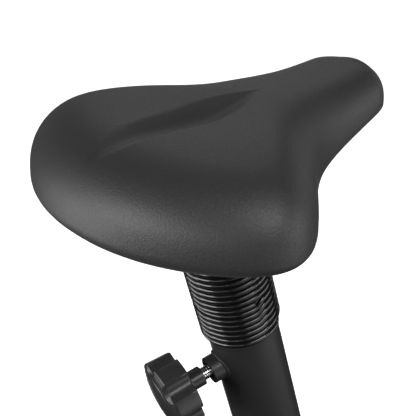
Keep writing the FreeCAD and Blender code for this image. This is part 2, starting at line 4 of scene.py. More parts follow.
import bmesh
import bpy
import numpy as np
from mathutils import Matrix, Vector


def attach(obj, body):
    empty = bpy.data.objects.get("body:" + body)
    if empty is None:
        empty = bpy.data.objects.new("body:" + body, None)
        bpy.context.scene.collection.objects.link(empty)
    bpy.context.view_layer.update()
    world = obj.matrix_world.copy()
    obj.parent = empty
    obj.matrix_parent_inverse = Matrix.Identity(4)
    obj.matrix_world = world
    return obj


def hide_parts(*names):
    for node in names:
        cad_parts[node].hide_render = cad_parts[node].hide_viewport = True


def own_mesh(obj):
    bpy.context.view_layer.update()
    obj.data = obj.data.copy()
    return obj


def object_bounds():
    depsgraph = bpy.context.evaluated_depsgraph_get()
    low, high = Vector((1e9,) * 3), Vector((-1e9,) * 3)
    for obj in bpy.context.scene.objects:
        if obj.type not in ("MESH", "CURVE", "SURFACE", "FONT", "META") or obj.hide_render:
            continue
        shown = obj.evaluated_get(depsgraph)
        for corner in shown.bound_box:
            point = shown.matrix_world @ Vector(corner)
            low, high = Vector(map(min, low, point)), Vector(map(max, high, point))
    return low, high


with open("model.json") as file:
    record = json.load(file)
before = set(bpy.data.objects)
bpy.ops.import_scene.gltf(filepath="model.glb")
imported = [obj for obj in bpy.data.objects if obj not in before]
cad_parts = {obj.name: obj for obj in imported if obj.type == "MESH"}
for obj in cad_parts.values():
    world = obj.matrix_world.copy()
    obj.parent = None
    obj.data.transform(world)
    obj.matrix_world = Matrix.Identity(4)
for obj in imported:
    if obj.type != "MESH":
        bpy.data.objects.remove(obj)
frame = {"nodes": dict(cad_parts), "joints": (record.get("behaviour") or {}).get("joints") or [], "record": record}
cad_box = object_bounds()

MM = 0.001
record = frame["record"]
joints = {joint["name"]: joint for joint in frame["joints"]}

# ---------------------------------------------------------------- frames of the part
UP = Vector(joints["seat_height"]["axis"]).normalized()     # up along the seat tube
FRONT = Vector((UP.z, 0, -UP.x))                            # square to it, forwards
LEFT = Vector((0, 1, 0))
KNOB = Vector(joints["knob_turn"]["axis"]).normalized()     # out along the clamping stud
KNOB_AT = Vector(joints["knob_turn"]["pos_m"])
KNOB_UP = UP.copy()
KNOB_SIDE = KNOB.cross(KNOB_UP)
DATUM_HEIGHT = 0.437            # of the datum of the saddle's own sizes, up along the tube
DATUM_FORWARD = 0.018           # and forwards of the tube's line, level
SADDLE = UP * DATUM_HEIGHT + Vector((DATUM_FORWARD, 0, 0))

# ---------------------------------------------------------------- camera
VIEW_AZIMUTH = math.radians(-41.15)
VIEW_ELEVATION = math.radians(25.53)
VIEW_DISTANCE = 0.6418
LOOK_AT = SADDLE + Vector((-0.0048, 0.0075, -0.0334))
LENS = 84.87

backwards = Vector((math.sin(VIEW_AZIMUTH) * math.cos(VIEW_ELEVATION),
                    -math.cos(VIEW_AZIMUTH) * math.cos(VIEW_ELEVATION),
                    math.sin(VIEW_ELEVATION)))
camera_data = bpy.data.cameras.new("camera")
camera_data.lens = LENS
camera_data.sensor_width = 36
camera_data.clip_start = 0.01
camera = bpy.data.objects.new("camera", camera_data)
camera.location = LOOK_AT + backwards * VIEW_DISTANCE
camera.rotation_euler = (-backwards).to_track_quat("-Z", "Y").to_euler()
bpy.context.scene.collection.objects.link(camera)
bpy.context.scene.camera = camera


# ---------------------------------------------------------------- curves and meshes
def cubic(knots, values, at):
    """A natural cubic spline through the values at the knots."""
    knots = np.asarray(knots, float)
    values = np.asarray(values, float)
    at = np.clip(at, knots[0], knots[-1])
    step = np.diff(knots)
    slope = (np.diff(values, axis=0).T / step).T
    system = np.eye(len(knots))
    right = np.zeros_like(values)
    for i in range(1, len(knots) - 1):
        system[i, i - 1:i + 2] = step[i - 1], 2 * (step[i - 1] + step[i]), step[i]
        right[i] = 6 * (slope[i] - slope[i - 1])
    bend = np.linalg.solve(system, right)
    i = np.clip(np.searchsorted(knots, at, side="right") - 1, 0, len(step) - 1)
    a, b, h = at - knots[i], knots[i + 1] - at, step[i]
    if values.ndim > 1:
        a, b, h = a[:, None], b[:, None], h[:, None]
    curve = (bend[i] * b ** 3 + bend[i + 1] * a ** 3) / (6 * h)
    curve = curve + (values[i] / h - bend[i] * h / 6) * b
    return curve + (values[i + 1] / h - bend[i + 1] * h / 6) * a


def closed_curve(half, count):
    """Evenly spaced points on a smooth closed curve through half an outline and its mirror image."""
    half = np.asarray(half, float)
    loop = np.vstack([half, half[-2:0:-1] * [1, -1]])
    laps = np.vstack([loop, loop, loop, loop[:1]])
    span = np.linalg.norm(np.diff(laps, axis=0), axis=1) ** 0.5
    t = np.concatenate([[0], np.cumsum(span)])
    n = len(loop)
    dense = cubic(t, laps, np.linspace(t[n], t[2 * n], 8 * count + 1))
    length = np.concatenate([[0], np.cumsum(np.linalg.norm(np.diff(dense, axis=0), axis=1))])
    even = np.linspace(0, length[-1], count, endpoint=False)
    return np.stack([np.interp(even, length, dense[:, k]) for k in (0, 1)], 1)


def mesh_object(name, points, faces, merge=0.0, sharp=None):
    """A smooth-shaded mesh object, in metres, with its normals outwards."""
    mesh = bpy.data.meshes.new(name)
    mesh.from_pydata([tuple(p) for p in points], [], faces)
    work = bmesh.new()
    work.from_mesh(mesh)
    if merge:
        bmesh.ops.remove_doubles(work, verts=work.verts, dist=merge)
        bmesh.ops.dissolve_degenerate(work, edges=work.edges, dist=merge / 2)
    bmesh.ops.recalc_face_normals(work, faces=work.faces)
    work.to_mesh(mesh)
    work.free()
    mesh.polygons.foreach_set("use_smooth", [True] * len(mesh.polygons))
    if sharp:
        mesh.set_sharp_from_angle(angle=math.radians(sharp))
    piece = bpy.data.objects.new(name, mesh)
    bpy.context.scene.collection.objects.link(piece)
    return piece


def ring_faces(rings, count, ends=(False, False)):
    """Quads between closed rings of count points each, with flat ends where asked."""
    faces = []
    for i in range(rings - 1):
        for j in range(count):
            k = (j + 1) % count
            faces.append((i * count + j, i * count + k, (i + 1) * count + k, (i + 1) * count + j))
    if ends[0]:
        faces.append(tuple(range(count)))
    if ends[1]:
        faces.append(tuple(range((rings - 1) * count, rings * count)))
    return faces


def rounded(profile, radii, steps=6):
    """A profile of (radius, height) corners with each inner corner replaced by an arc."""
    out = [profile[0]]
    for i in range(1, len(profile) - 1):
        here = np.array(profile[i], float)
        before = np.array(profile[i - 1], float) - here
        after = np.array(profile[i + 1], float) - here
        radius = radii[i] if isinstance(radii, (list, tuple)) else radii
        cut = min(radius, 0.48 * np.linalg.norm(before), 0.48 * np.linalg.norm(after))
        if cut < 1e-6:
            out.append(tuple(here))
            continue
        start = here + before / np.linalg.norm(before) * cut
        end = here + after / np.linalg.norm(after) * cut
        for t in np.linspace(0, 1, steps):
            out.append(tuple((1 - t) ** 2 * start + 2 * t * (1 - t) * here + t * t * end))
    out.append(profile[-1])
    return out


def lathe(name, profile, origin, axis, side, count=96, sharp=40):
    """A profile of (radius, height) in mm turned about an axis."""
    other = axis.cross(side)
    points = []
    for r, h in profile:
        for a in np.linspace(0, 2 * math.pi, count, endpoint=False):
            points.append(origin + (axis * h + side * (r * math.cos(a)) + other * (r * math.sin(a))) * MM)
    return mesh_object(name, points, ring_faces(len(profile), count), merge=1e-6, sharp=sharp)


def swept(name, path, radius, across, count=20, closed=False):
    """A round wire along a path, its section's first direction as near across as can be."""
    path = np.asarray(path, float)
    tangent = np.roll(path, -1, 0) - np.roll(path, 1, 0)
    if not closed:
        tangent[0] = path[1] - path[0]
        tangent[-1] = path[-1] - path[-2]
    tangent /= np.linalg.norm(tangent, axis=1)[:, None]
    e1 = np.array(across, float) - tangent * (tangent @ np.array(across, float))[:, None]
    e1 /= np.linalg.norm(e1, axis=1)[:, None]
    e2 = np.cross(tangent, e1)
    radius = np.broadcast_to(radius, len(path))
    angle = np.linspace(0, 2 * math.pi, count, endpoint=False)
    rings = [path[i] + radius[i] * (np.cos(angle)[:, None] * e1[i] + np.sin(angle)[:, None] * e2[i])
             for i in range(len(path))]
    faces = ring_faces(len(path), count, ends=(not closed, not closed))
    if closed:
        last = (len(path) - 1) * count
        for j in range(count):
            k = (j + 1) % count
            faces.append((last + j, last + k, k, j))
    return mesh_object(name, np.vstack(rings), faces)


# ---------------------------------------------------------------- materials
class Material:
    """A Principled material with its own object coordinates, built up node by node."""

    def __init__(self, name, colour, roughness, metallic=0.0):
        self.material = bpy.data.materials.new(name)
        self.material.use_nodes = True
        self.tree = self.material.node_tree
        self.tree.nodes.clear()
        output = self.tree.nodes.new("ShaderNodeOutputMaterial")
        self.shader = self.tree.nodes.new("ShaderNodeBsdfPrincipled")
        self.tree.links.new(self.shader.outputs["BSDF"], output.inputs["Surface"])
        self.place = self.tree.nodes.new("ShaderNodeTexCoord").outputs["Object"]
        self.colour = colour
        self.shader.inputs["Base Color"].default_value = (*colour, 1)
        self.shader.inputs["Roughness"].default_value = roughness
        self.shader.inputs["Metallic"].default_value = metallic
        self.normal = None

    def set(self, **values):
        """Plain values on the shader's own sockets, named with _ for each space."""
        for name, value in values.items():
            self.shader.inputs[name.replace("_", " ")].default_value = value
        return self

    def noise(self, size, detail=2.0, roughness=0.5, stretch=None):
        """Noise whose features are about size mm across."""
        node = self.tree.nodes.new("ShaderNodeTexNoise")
        node.inputs["Scale"].default_value = 1 / (size * MM)
        node.inputs["Detail"].default_value = detail
        node.inputs["Roughness"].default_value = roughness
        place = self.place
        if stretch:
            mapping = self.tree.nodes.new("ShaderNodeMapping")
            mapping.inputs["Scale"].default_value = stretch
            self.tree.links.new(place, mapping.inputs["Vector"])
            place = mapping.outputs["Vector"]
        self.tree.links.new(place, node.inputs["Vector"])
        return node.outputs["Fac"]

    def cells(self, size):
        """Voronoi cells about size mm across."""
        node = self.tree.nodes.new("ShaderNodeTexVoronoi")
        node.feature = "SMOOTH_F1"
        node.inputs["Scale"].default_value = 1 / (size * MM)
        self.tree.links.new(self.place, node.inputs["Vector"])
        return node.outputs["Distance"]

    def ranged(self, value, low, high, start=0.3, end=0.7):
        """The value's middle range spread from low to high."""
        node = self.tree.nodes.new("ShaderNodeMapRange")
        node.inputs["From Min"].default_value = start
        node.inputs["From Max"].default_value = end
        node.inputs["To Min"].default_value = low
        node.inputs["To Max"].default_value = high
        self.tree.links.new(value, node.inputs["Value"])
        return node.outputs["Result"]

    def vary_roughness(self, value, low, high):
        """The roughness runs from low to high with the value."""
        self.tree.links.new(self.ranged(value, low, high), self.shader.inputs["Roughness"])
        return self

    def vary_colour(self, value, other, start=0.3, end=0.7):
        """The base colour runs to the other one where the value is high."""
        mix = self.tree.nodes.new("ShaderNodeMix")
        mix.data_type = "RGBA"
        colour_in = [s for s in mix.inputs if s.type == "RGBA"]
        colour_in[0].default_value = (*self.colour, 1)
        colour_in[1].default_value = (*other, 1)
        self.tree.links.new(self.ranged(value, 0, 1, start, end), mix.inputs["Factor"])
        result = [s for s in mix.outputs if s.type == "RGBA"][0]
        self.tree.links.new(result, self.shader.inputs["Base Color"])
        return self

    def bump(self, value, depth, strength=1.0):
        """Adds relief depth mm deep to what is there already."""
        node = self.tree.nodes.new("ShaderNodeBump")
        node.inputs["Strength"].default_value = strength
        node.inputs["Distance"].default_value = depth * MM
        self.tree.links.new(value, node.inputs["Height"])
        if self.normal:
            self.tree.links.new(self.normal, node.inputs["Normal"])
        self.normal = node.outputs["Normal"]
        self.tree.links.new(self.normal, self.shader.inputs["Normal"])
        return self


def cushion_skin():
    """Moulded polyurethane skin: small pits and grains over broad, faint waves."""
    m = Material("cushion_skin", (0.023, 0.023, 0.0245), 0.5)
    m.set(Specular_IOR_Level=0.55, Sheen_Weight=0.04, Sheen_Roughness=0.5)
    m.vary_roughness(m.noise(1.6, 3, 0.7), 0.44, 0.56)
    m.vary_colour(m.noise(1.2, 3, 0.7), (0.031, 0.031, 0.033))
    m.bump(m.cells(1.1), 0.12, 0.8)
    m.bump(m.noise(0.8, 3, 0.7), 0.11, 0.8)
    m.bump(m.noise(14, 2), 0.06, 0.5)
    return m.material


def powder_coat():
    """Satin paint with the fine orange peel of a baked powder."""
    m = Material("powder_coat", (0.030, 0.030, 0.031), 0.42)
    m.vary_roughness(m.noise(3.0, 3), 0.34, 0.42)
    m.vary_colour(m.noise(30, 3), (0.032, 0.032, 0.033))
    m.bump(m.noise(0.7, 2, 0.55), 0.03, 0.6)
    m.bump(m.noise(3.2, 1), 0.03, 0.5)
    return m.material


def lacquered_wire():
    """Black spring wire under a clear coat."""
    m = Material("lacquered_wire", (0.008, 0.008, 0.009), 0.2)
    m.set(Coat_Weight=0.5, Coat_Roughness=0.08)
    m.vary_roughness(m.noise(2.4, 2), 0.16, 0.26)
    m.bump(m.noise(1.5, 2), 0.02, 0.5)
    return m.material


def knob_plastic():
    """Moulded nylon with a slight gloss."""
    m = Material("knob_plastic", (0.030, 0.030, 0.031), 0.3)
    m.vary_roughness(m.noise(2.0, 3), 0.26, 0.34)
    m.vary_colour(m.noise(12, 2), (0.036, 0.036, 0.037))
    m.bump(m.noise(0.5, 2, 0.6), 0.02, 0.5)
    m.bump(m.noise(6.0, 1), 0.05, 0.4)
    return m.material


def pan_plastic():
    """The pan's coarser textured plastic."""
    m = Material("pan_plastic", (0.020, 0.020, 0.021), 0.5)
    m.vary_roughness(m.noise(4.0, 3), 0.45, 0.58)
    m.bump(m.cells(0.9), 0.06, 0.6)
    m.vary_colour(m.noise(18, 2), (0.026, 0.026, 0.027))
    return m.material


def nylon():
    """Sleeves and bushes."""
    m = Material("nylon", (0.022, 0.022, 0.023), 0.45)
    m.vary_roughness(m.noise(3.0, 2), 0.4, 0.52)
    m.vary_colour(m.noise(10, 2), (0.03, 0.03, 0.031))
    m.bump(m.noise(0.6, 2), 0.02, 0.5)
    return m.material


def rubber():
    """The bump stop."""
    m = Material("rubber", (0.018, 0.018, 0.018), 0.75)
    m.vary_roughness(m.noise(2.5, 3), 0.7, 0.85)
    m.vary_colour(m.noise(8, 2), (0.03, 0.03, 0.029))
    m.bump(m.noise(0.8, 3), 0.05, 0.6)
    return m.material


def plated_steel(name, colour, low, high, along):
    """Plated steel with fine lines drawn out along one direction."""
    m = Material(name, colour, low, 1.0)
    m.vary_roughness(m.noise(1.2, 3, 0.6, stretch=along), low, high)
    m.vary_colour(m.noise(6, 3), tuple(0.86 * c for c in colour))
    m.bump(m.noise(0.4, 2, 0.6, stretch=along), 0.01, 0.5)
    return m.material


def floor_paint():
    """An even pale floor, which gives off its own light and takes no shadow."""
    m = Material("floor_paint", (0.93, 0.93, 0.93), 0.9)
    m.set(Specular_IOR_Level=0.0, Emission_Color=(1, 1, 1, 1), Emission_Strength=0.97)
    return m.material


FINISH = {
    "frame_paint": powder_coat(),
    "post_steel": plated_steel("post_steel", (0.55, 0.55, 0.57), 0.22, 0.34, (1, 1, 0.06)),
    "nylon": nylon(),
    "spring_steel": lacquered_wire(),
    "zinc": plated_steel("zinc", (0.9, 0.91, 0.92), 0.12, 0.24, (1, 1, 1)),
    "rubber": rubber(),
    "cushion_skin": cushion_skin(),
    "pan_plastic": pan_plastic(),
    "knob_plastic": knob_plastic(),
}
for subpart in record["subparts"]:
    node = frame["nodes"][subpart["node"]]
    if not node.material_slots:
        node.data.materials.append(None)
    for material_slot in node.material_slots:
        material_slot.material = FINISH[subpart["material_slot"]]


def finish(piece, slot, body, *nodes):
    """Gives a piece its material, its body and the CAD nodes that it stands for."""
    piece.data.materials.append(FINISH[slot])
    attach(piece, body)
    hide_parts(*nodes)


# ---------------------------------------------------------------- saddle skin
# All in mm from the saddle's datum: x forwards, y to the left, z up.
OUTLINE = [(-114.9, 0), (-100.6, 65.1), (-51.1, 115.4), (0.4, 84.1),
           (43.8, 50.9), (103.7, 37.1), (120.9, 30.2), (132.4, 0)]
REAR, NOSE = OUTLINE[0][0], OUTLINE[-1][0]
CROWN = [(REAR, 32.6), (-46.1, 41.3), (21.7, 43.0), (73.4, 41.2), (NOSE, 47.5)]
CROWN_FALL = 9.85                       # how far the crown falls 100 mm from the middle
DISH = (-18.0, 38.0, 42.0, 6.0)         # hollow for the rider: x, length, half width, depth
# x, half width and depth along the channel down the middle
CHANNEL = [(-106, 0.6, 0), (-99, 4, 0.7), (-90, 9, 2.2), (-80, 12, 3.7), (-57, 15.5, 5.7),
           (-30, 17.5, 6.8), (-10, 18, 6.9), (5, 14.5, 5.2), (17, 9, 2.9), (27, 4, 0.9), (36, 0.6, 0)]
CHANNEL_POWER = 1.8                     # above 1, the channel's bank runs out softly
STATIONS = (REAR, 11.9, NOSE)
RIM = (-24.5, -9.6, 20.1)               # level of the lower edge at those stations
SIDE = (18.0, 5.3, 4.2)                 # how far above it the saddle is widest
TUCK = (24.1, 13.5, 14.4)               # how far the lower edge is tucked in
TIP_TUCK = 20.0                         # the same at the tip of the nose
TIP_START = 90                          # x where that begins
TIP_LENGTH = 40
ROLL = (50.0, 34.8, 25.1)               # how far in the side rolls over into the top
ROLL_POWER = 2.64                       # 2 would be an ellipse, and more is squarer
RIM_ROUND = 8.0                         # how far the rounded rim runs in under the saddle
LIP_ROUND = 3.0                         # rounding of the lip round the recess
PAN_EDGE = [(-93, 0), (-91, 40), (-73, 79), (-49, 92), (-20, 79),
            (10, 53), (40, 33), (75, 22), (104, 13), (114, 0)]
PAN_TOP = -6.0
PAN_THICK = 3
PAN_BEND = 40.0                         # x where the pan starts to rise towards the nose
PAN_RISE = 24.0
PAN_SLOPE = PAN_RISE / (PAN_EDGE[-1][0] - PAN_BEND)
PAN_GAP = 0.4
SPINE = (62.0, 22.0)                    # how far inside the outline's ends the middle line stops
AROUND = 360


def crown(x, y):
    """The top of the saddle without its channel."""
    z = cubic(*zip(*CROWN), x) - CROWN_FALL * (y / 100) ** 2
    middle, long, wide, deep = DISH
    return z - deep * np.exp(-((x - middle) / long) ** 2 - (y / wide) ** 2)


def channel(x, y):
    """Depth of the moulded channel down the middle."""
    at, width, depth = (np.array(c, float) for c in zip(*CHANNEL))
    inside = (x > at[0]) & (x < at[-1])
    half = np.maximum(cubic(at, width, x), 0.4)
    deep = np.maximum(cubic(at, depth, x), 0) * inside
    s = np.clip(np.abs(y) / half, 0, 1)
    return deep * (1 - s * s) ** CHANNEL_POWER


def ray_reach(centre, ray, edge):
    """How far each ray from its centre runs before it meets the closed edge."""
    reach = np.zeros(len(centre))
    a, b = edge, np.roll(edge, -1, 0)
    side = b - a
    for i in range(len(centre)):
        turn = ray[i, 0] * side[:, 1] - ray[i, 1] * side[:, 0]
        turn = np.where(np.abs(turn) < 1e-9, 1e-9, turn)
        gap = a - centre[i]
        t = (gap[:, 0] * side[:, 1] - gap[:, 1] * side[:, 0]) / turn
        u = (gap[:, 0] * ray[i, 1] - gap[:, 1] * ray[i, 0]) / turn
        hits = t[(u >= 0) & (u <= 1) & (t > 0)]
        reach[i] = hits.min() if len(hits) else 1.0
    return reach


def saddle_skin():
    """The moulded cushion's skin: over the top, round the side, under the rim and up to the pan."""
    edge = closed_curve(OUTLINE, AROUND)
    along = np.roll(edge, -1, 0) - np.roll(edge, 1, 0)
    outwards = np.stack([along[:, 1], -along[:, 0]], 1)
    outwards /= np.linalg.norm(outwards, axis=1)[:, None]
    if (outwards[0] * edge[0]).sum() < 0:
        outwards = -outwards
    x = edge[:, 0]
    middle = np.interp(x, [REAR, NOSE], [REAR + SPINE[0], NOSE - SPINE[1]])
    centre = np.stack([middle, np.zeros(AROUND)], 1)
    ray = edge - centre
    length = np.linalg.norm(ray, axis=1)
    ray /= length[:, None]
    square = np.clip((ray * outwards).sum(1), 0.3, 1)
    reach = length * square
    rim = cubic(STATIONS, RIM, x)
    side = rim + cubic(STATIONS, SIDE, x)
    tip = np.clip(outwards[:, 0], 0, 1) ** 2 * np.clip((x - TIP_START) / TIP_LENGTH, 0, 1)
    tuck = np.minimum(cubic(STATIONS, TUCK, x) * (1 - tip) + TIP_TUCK * tip, 0.6 * reach)
    roll = np.minimum(cubic(STATIONS, ROLL, x), 0.97 * reach)
    rings = []

    def ring(inset, z):
        """A ring of points so far in from the outline, square to it."""
        flat = edge - ray * (inset / square)[:, None]
        rings.append(np.column_stack([flat, z]))

    # the recess under the saddle, from the pan outwards
    pan = ray_reach(centre, ray, closed_curve(PAN_EDGE, 600))
    lip = (length - pan) * square + PAN_GAP
    lip = np.maximum(lip, tuck + RIM_ROUND + LIP_ROUND + 0.5)
    pan_x = (edge - ray * (lip / square)[:, None])[:, 0]
    ceiling = PAN_TOP + PAN_SLOPE * np.maximum(pan_x - PAN_BEND, 0) - PAN_THICK
    floor = np.minimum(rim, ceiling - LIP_ROUND - 0.6)
    ring(lip, ceiling)
    ring(lip, 0.5 * (ceiling + floor + LIP_ROUND))
    for a in np.radians([0, 30, 60, 90]):
        ring(lip - LIP_ROUND * (1 - np.cos(a)), floor + LIP_ROUND * (1 - np.sin(a)))
    inner = lip - LIP_ROUND
    outer = tuck + RIM_ROUND
    for s in (0.33, 0.66):
        ring(inner + (outer - inner) * s, floor + (rim - floor) * s)
    # round the rim and up the side
    for a in np.radians([90, 82, 74, 66, 58, 50, 42, 34, 26, 18, 9, 0]):
        ring(outer * (1 - np.cos(a)), side - (side - rim) * np.sin(a))
    # over the shoulder
    for a in np.radians([4, 8, 12, 17, 22, 27, 33, 39, 45, 51, 57, 63, 69, 75, 80, 84, 87, 90]):
        inset = roll * (1 - np.cos(a) ** (2 / ROLL_POWER))
        flat = edge - ray * (inset / square)[:, None]
        rise = np.sin(a) ** (2 / ROLL_POWER)
        over = crown(flat[:, 0], flat[:, 1]) - channel(flat[:, 0], flat[:, 1])
        rings.append(np.column_stack([flat, side + (over - side) * rise]))
    # the top, in to the middle line
    share = 1 - roll / reach
    for s in (1 - np.linspace(0, 1, 46)[1:]) ** 1.25:
        flat = centre + ray * (length * share * s)[:, None]
        over = crown(flat[:, 0], flat[:, 1]) - channel(flat[:, 0], flat[:, 1])
        rings.append(np.column_stack([flat, over]))
    points = np.array(SADDLE) + np.vstack(rings) * MM
    piece = mesh_object("saddle_skin", points, ring_faces(len(rings), AROUND), merge=2e-5)
    finish(piece, "cushion_skin", "sprung_saddle", "saddle_pad")


saddle_skin()

# ---------------------------------------------------------------- springs
# Sizes in mm, heights along the tube, and turns in degrees.
COIL_RADIUS = 27.1
WIRE_RADIUS = 1.9
COIL_PITCH = 4.7
COLLAR_TOP = 305.3          # where the helper spring stands on the collar
SPRING_SPLIT = 337.0        # lower end of the main spring
SPRING_TOP = 394.8
TIP_ANGLE = -101.0          # where the main spring's lower end stops, round from the front to the left
STEP = 5.0                  # turn between the points of a coil
HELPER_COILS = 7.1
HELPER_END = 130.0          # turn from the main spring's tip to the helper spring's ground upper end
HELPER_TAPER = 0.55         # share of the wire ground away at that end
TAPER_TURN = 110            # turn over which it is ground
TIP_STEP = 20.0             # turn over which the helper spring's coils step down beside the tip


def wire_points(angles, heights):
    """Points on the coil's centre line."""
    out = []
    for a, h in zip(np.radians(angles), heights):
        out.append(UP * (h * MM) + (FRONT * math.cos(a) + LEFT * math.sin(a)) * (COIL_RADIUS * MM))
    return np.array(out)


def coil(name, angles, heights, node, thickness=1.0):
    """A wire with rounded ends."""
    path = wire_points(angles, heights)
    radius = np.full(len(path), WIRE_RADIUS * MM) * thickness
    rounding = np.radians([25, 48, 68, 84])
    ends = []
    for end, before, wide in ((path[0], path[1], radius[0]), (path[-1], path[-2], radius[-1])):
        out = (end - before) / np.linalg.norm(end - before)
        ends.append([(end + out * wide * math.sin(t), wide * math.cos(t)) for t in rounding])
    path = np.vstack([[p for p, _ in ends[0][::-1]], path, [p for p, _ in ends[1]]])
    radius = np.concatenate([[r for _, r in ends[0][::-1]], radius, [r for _, r in ends[1]]])
    piece = swept(name, path, radius, UP)
    finish(piece, "spring_steel", "post", node)
    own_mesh(piece)
    return piece


def main_coil():
    """Wound to the left, down to its tip."""
    low, high = SPRING_SPLIT + WIRE_RADIUS, SPRING_TOP - WIRE_RADIUS
    turns = (high - low) / COIL_PITCH
    angles = TIP_ANGLE - np.arange(0, turns * 360 + 1e-6, STEP)
    heights = low + (TIP_ANGLE - angles) / 360 * COIL_PITCH
    coil("main_spring_wire", angles, heights, "main_spring")


def helper_coil():
    """Wound the same way, its coils stepping down where they pass under the main spring's tip."""
    low = COLLAR_TOP + WIRE_RADIUS
    room = SPRING_SPLIT + WIRE_RADIUS - low
    left_of_tip = room / HELPER_COILS
    right_of_tip = left_of_tip + COIL_PITCH / HELPER_COILS
    turn = np.arange(-(HELPER_COILS - 1) * 360, HELPER_END + 1e-6, STEP / 2)
    round_on = turn % 360
    rising = np.minimum(round_on / (360 - TIP_STEP), 1)
    falling = np.clip((round_on - (360 - TIP_STEP)) / TIP_STEP, 0, 1)
    share = rising * (1 - falling * falling * (3 - 2 * falling))
    lap = HELPER_COILS - 1 + turn / 360
    heights = low + lap * (left_of_tip + (right_of_tip - left_of_tip) * share)
    thickness = 1 - HELPER_TAPER * np.clip((turn - HELPER_END + TAPER_TURN) / TAPER_TURN, 0, 1)
    coil("helper_spring_wire", TIP_ANGLE - turn, heights, "helper_spring", thickness)


main_coil()
helper_coil()

# ---------------------------------------------------------------- clamping knob
# Sizes in mm, and distances out along the stud from the tube's own line.
TUBE_RADIUS = 25.4
BOSS_RADIUS = 10.0
BOSS_ROOT = 20.5
BOSS_FACE = 33.6
BOSS_BORE_END = 24.6
BORE_PLAY = 0.12            # round the stud in the boss
MOUTH_RADIUS = 6.7
MOUTH_DEPTH = 2.2
BEAD_OFFSET = 0.4           # of the weld bead's line outside the boss
BEAD_RADIUS = 1.1
BEAD_RIPPLE = 0.16
BEAD_DRIFT = 0.06
STUD_RADIUS = 4.95
THREAD_PITCH = 1.5
THREAD_DEPTH = 0.85
THREAD_FLANK = 1.25         # above 1, the thread has flat crests and roots
THREAD_ROOT = 0.12          # share of the flat that goes to the crests
STUD_TIP = 23.2
POINT_RADIUS = 3.8
POINT_CHAMFER = 0.8
POINT_END = 30.2
STUD_IN_HUB = 6
HUB_START = 39.5
HUB_RADIUS = 7.2
HUB_BORE = 4
FLARE_OUT = 2.4             # the hub's root widens into the grip
FLARE_RISE = 2.2
FLARE_SUNK = 0.6
GRIP_BORE = 1.2             # of the grip's flat back, outside the hub
GRIP_START = 52.6
GRIP_DEPTH = 19.2
GRIP_CROWN = 3.6
GRIP_BACK = 26.0            # radius over the lobes at the back
GRIP_FRONT = 26.9           # and at the front
GRIP_EDGE = 1.4             # rounding of its edges
LOBES = 6
LOBE_ROUND = 0.8            # rounding of the lobes' corners
SCALLOP_RADIUS = 7.4
SCALLOP_CENTRE = 29.0
SCALLOP_FLARE = 6           # how fast the outline leaves the circle beside a scallop
SCALLOP_CLEAR = 1.5
STAR_TURN = 15.0            # turn of the first scallop from the tube's upward direction
CAP_RADIUS = 16.8
RECESS_DEPTH = 1.6
CAP_PROUD = 0.12
ON_KNOB = (KNOB_AT, KNOB, KNOB_UP)


def on_knob(radius, angle, distance):
    """A point round the stud's line, at an angle from the tube's upward direction."""
    point = KNOB * distance + KNOB_UP * (radius * math.cos(angle))
    return KNOB_AT + (point + KNOB_SIDE * (radius * math.sin(angle))) * MM


def boss():
    """The welded boss, with its countersunk mouth."""
    bore = STUD_RADIUS + BORE_PLAY
    profile = [(BOSS_RADIUS, BOSS_ROOT), (BOSS_RADIUS, BOSS_FACE), (MOUTH_RADIUS, BOSS_FACE),
               (bore, BOSS_FACE - MOUTH_DEPTH), (bore, BOSS_BORE_END)]
    piece = lathe("boss_body", rounded(profile, [0, 0.9, 0.35, 0.3, 0]), *ON_KNOB)
    finish(piece, "frame_paint", "frame_tube", "knob_boss")


def weld():
    """A rippled bead where the boss meets the round tube."""
    count = 240
    ripples = 34
    centre = BOSS_RADIUS + BEAD_OFFSET
    path, radius = [], []
    for a in np.linspace(0, 2 * math.pi, count, endpoint=False):
        across = centre * math.sin(a)
        out = math.sqrt(TUBE_RADIUS ** 2 - across ** 2) + 0.1
        path.append(KNOB_AT + (KNOB * out + KNOB_UP * (centre * math.cos(a)) + KNOB_SIDE * across) * MM)
        wave = abs(math.sin(a * ripples / 2 + 0.35 * math.sin(3 * a)))
        radius.append((BEAD_RADIUS + BEAD_RIPPLE * wave + BEAD_DRIFT * math.sin(2 * a + 1)) * MM)
    piece = swept("boss_weld_bead", path, radius, KNOB, count=18, closed=True)
    finish(piece, "frame_paint", "frame_tube", "boss_weld")


def stud():
    """The threaded stud, with its plain point inside the tube."""
    count = 72
    tip = [(0.0, STUD_TIP), (POINT_RADIUS - POINT_CHAMFER, STUD_TIP),
           (POINT_RADIUS, STUD_TIP + POINT_CHAMFER), (POINT_RADIUS, POINT_END)]
    rings = []
    angle = np.linspace(0, 2 * math.pi, count, endpoint=False)
    for r, h in tip:
        rings.append((np.full(count, r), h))
    for h in np.arange(POINT_END + 0.2, HUB_START + STUD_IN_HUB, THREAD_PITCH / 12):
        turn = (h / THREAD_PITCH - angle / (2 * math.pi)) % 1
        ridge = np.clip(np.abs(turn - 0.5) * 2 * THREAD_FLANK - THREAD_ROOT, 0, 1)
        fade = min(1, (h - POINT_END) / THREAD_PITCH)
        rings.append((STUD_RADIUS - THREAD_DEPTH * (ridge * fade + 1 - fade), h))
    points = []
    for radius, h in rings:
        for r, a in zip(radius, angle):
            points.append(on_knob(r, a, h))
    faces = ring_faces(len(rings), count, ends=(False, True))
    piece = mesh_object("stud_thread", points, faces, merge=1e-6, sharp=50)
    finish(piece, "zinc", "stud", "knob_stud")


